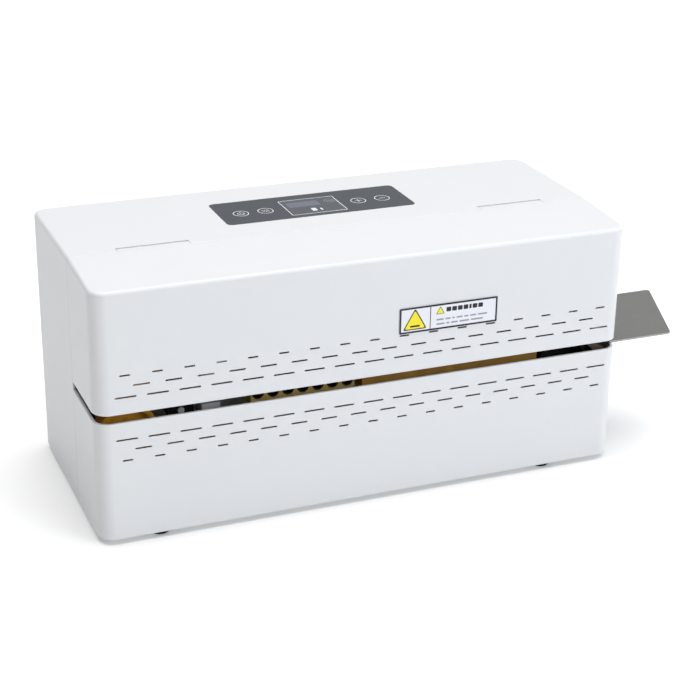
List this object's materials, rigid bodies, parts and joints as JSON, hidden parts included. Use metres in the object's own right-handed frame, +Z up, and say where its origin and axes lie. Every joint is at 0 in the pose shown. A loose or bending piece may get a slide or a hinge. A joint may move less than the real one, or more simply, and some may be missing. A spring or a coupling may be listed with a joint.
{
  "type": "continuous band sealer",
  "caption": "Closed white tabletop heat sealer for pouches with a horizontal feed slot, vent rows, a top control panel, a side support plate and a lift-up front cover.",
  "frame": {"origin": "middle of the footprint of the whole object, support plate included, on the surface that it stands on", "axes": "+X to the right as the user faces the control panel, along the feed slot; +Y to the back; +Z up"},
  "size_m": [0.6026, 0.2226, 0.2381],
  "materials": {
    "shell": "glossy white moulded plastic",
    "panel_film": "satin slate grey membrane film",
    "panel_window": "smooth darker display window",
    "label_film": "white printed film",
    "black_rubber": "matt black rubber",
    "bright_steel": "turned steel",
    "brushed_plate": "brushed stainless sheet",
    "zinc_sheet": "zinc plated sheet steel",
    "frame_aluminium": "milled aluminium plate",
    "motor_paint": "black painted metal",
    "brass_block": "machined brass",
    "bronze": "sintered bronze",
    "heater_bronze": "heat-tinted brass",
    "ptfe_belt": "brown PTFE-coated glass cloth, smooth satin",
    "amber_plastic": "amber plastic",
    "gear_nylon": "black nylon",
    "black_plastic": "black moulded plastic",
    "circuit_board": "green solder mask",
    "ceramic_board": "matt insulating board"
  },
  "bodies": {
    "cabinet": {"base_tray": "zinc_sheet", "control_board": "circuit_board", "control_panel_overlay": "panel_film", "cover_hinge_pin_left": "bright_steel", "cover_hinge_pin_right": "bright_steel", "display_module": "black_plastic", "display_window": "panel_window", "fan_frame": "black_plastic", "foot_front_left": "black_rubber", "foot_front_right": "black_rubber", "foot_rear_left": "black_rubber", "foot_rear_right": "black_rubber", "fuse_holder": "black_plastic", "gear_motor": "motor_paint", "infeed_guide": "bronze", "lower_belt": "ptfe_belt", "lower_cooling_block": "brass_block", "lower_front_cover": "shell", "lower_heater_block": "heater_bronze", "lower_heater_cartridge": "bright_steel", "lower_heater_insulator": "ceramic_board", "lower_idler_axle": "bright_steel", "lower_roller_arm": "zinc_sheet", "lower_shaft_bush": "bronze", "main_frame_plate": "frame_aluminium", "motor_bracket": "zinc_sheet", "power_inlet": "black_plastic", "power_supply_board": "circuit_board", "power_switch_frame": "black_plastic", "rear_housing": "shell", "support_plate": "brushed_plate", "support_plate_bracket": "zinc_sheet", "upper_belt": "ptfe_belt", "upper_cooling_block": "brass_block", "upper_heater_block": "heater_bronze", "upper_heater_cartridge": "bright_steel", "upper_heater_insulator": "ceramic_board", "upper_idler_axle": "bright_steel", "upper_roller_arm": "zinc_sheet", "upper_shaft_bush": "bronze"},
    "upper_cover": {"upper_front_cover": "shell", "front_label": "label_film"},
    "lower_drive": {"lower_drive_wheel": "amber_plastic", "lower_drive_shaft": "bright_steel", "lower_drive_gear": "gear_nylon"},
    "upper_drive": {"upper_drive_wheel": "amber_plastic", "upper_drive_shaft": "bright_steel", "upper_drive_gear": "gear_nylon"},
    "lower_idler": {"lower_idler_wheel": "gear_nylon"},
    "upper_idler": {"upper_idler_wheel": "gear_nylon"},
    "lower_roller": {"lower_pressure_roller": "black_rubber"},
    "upper_roller": {"upper_pressure_roller": "black_rubber"},
    "fan": {"fan_rotor": "black_plastic"},
    "rocker": {"power_switch_rocker": "black_plastic"},
    "power_button": {"power_key": "panel_film"},
    "heat_button": {"heat_key": "panel_film"},
    "plus_button": {"plus_key": "panel_film"},
    "minus_button": {"minus_key": "panel_film"}
  },
  "joints": [
    {"name": "cover_hinge", "type": "hinge", "parent": "cabinet", "child": "upper_cover", "pos_m": [-0.05134, -0.02447, 0.235], "axis": [-1, 0, 0], "range_deg": [0, 75]},
    {"name": "lower_drive_spin", "type": "hinge", "parent": "cabinet", "child": "lower_drive", "pos_m": [-0.26634, -0.07497, 0.0908], "axis": [0, 1, 0], "continuous": true},
    {"name": "upper_drive_spin", "type": "hinge", "parent": "cabinet", "child": "upper_drive", "pos_m": [-0.26634, -0.07497, 0.1472], "axis": [0, 1, 0], "continuous": true},
    {"name": "lower_idler_spin", "type": "hinge", "parent": "cabinet", "child": "lower_idler", "pos_m": [0.15366, -0.07497, 0.0908], "axis": [0, 1, 0], "continuous": true},
    {"name": "upper_idler_spin", "type": "hinge", "parent": "cabinet", "child": "upper_idler", "pos_m": [0.15366, -0.07497, 0.1472], "axis": [0, 1, 0], "continuous": true},
    {"name": "lower_roller_spin", "type": "hinge", "parent": "cabinet", "child": "lower_roller", "pos_m": [-0.21934, -0.07497, 0.1058], "axis": [0, 1, 0], "continuous": true},
    {"name": "upper_roller_spin", "type": "hinge", "parent": "cabinet", "child": "upper_roller", "pos_m": [-0.21934, -0.07497, 0.1322], "axis": [0, 1, 0], "continuous": true},
    {"name": "fan_spin", "type": "hinge", "parent": "cabinet", "child": "fan", "pos_m": [-0.10734, -0.04947, 0.117], "axis": [0, 1, 0], "continuous": true},
    {"name": "power_switch_rock", "type": "hinge", "parent": "cabinet", "child": "rocker", "pos_m": [0.09666, 0.10553, 0.047], "axis": [-1, 0, 0], "range_deg": [0, 16]},
    {"name": "power_key_press", "type": "slide", "parent": "cabinet", "child": "power_button", "axis": [0, 0, -1], "range_m": [0, 0.0004], "stiffness_N_per_m": 600},
    {"name": "heat_key_press", "type": "slide", "parent": "cabinet", "child": "heat_button", "axis": [0, 0, -1], "range_m": [0, 0.0004], "stiffness_N_per_m": 600},
    {"name": "plus_key_press", "type": "slide", "parent": "cabinet", "child": "plus_button", "axis": [0, 0, -1], "range_m": [0, 0.0004], "stiffness_N_per_m": 600},
    {"name": "minus_key_press", "type": "slide", "parent": "cabinet", "child": "minus_button", "axis": [0, 0, -1], "range_m": [0, 0.0004], "stiffness_N_per_m": 600}
  ],
  "couplings": [
    {"joint": "upper_drive_spin", "follows": "lower_drive_spin", "ratio": -1},
    {"joint": "lower_idler_spin", "follows": "lower_drive_spin", "ratio": 1},
    {"joint": "upper_idler_spin", "follows": "lower_drive_spin", "ratio": -1},
    {"joint": "lower_roller_spin", "follows": "lower_drive_spin", "ratio": 2.25},
    {"joint": "upper_roller_spin", "follows": "lower_drive_spin", "ratio": -2.25}
  ]
}
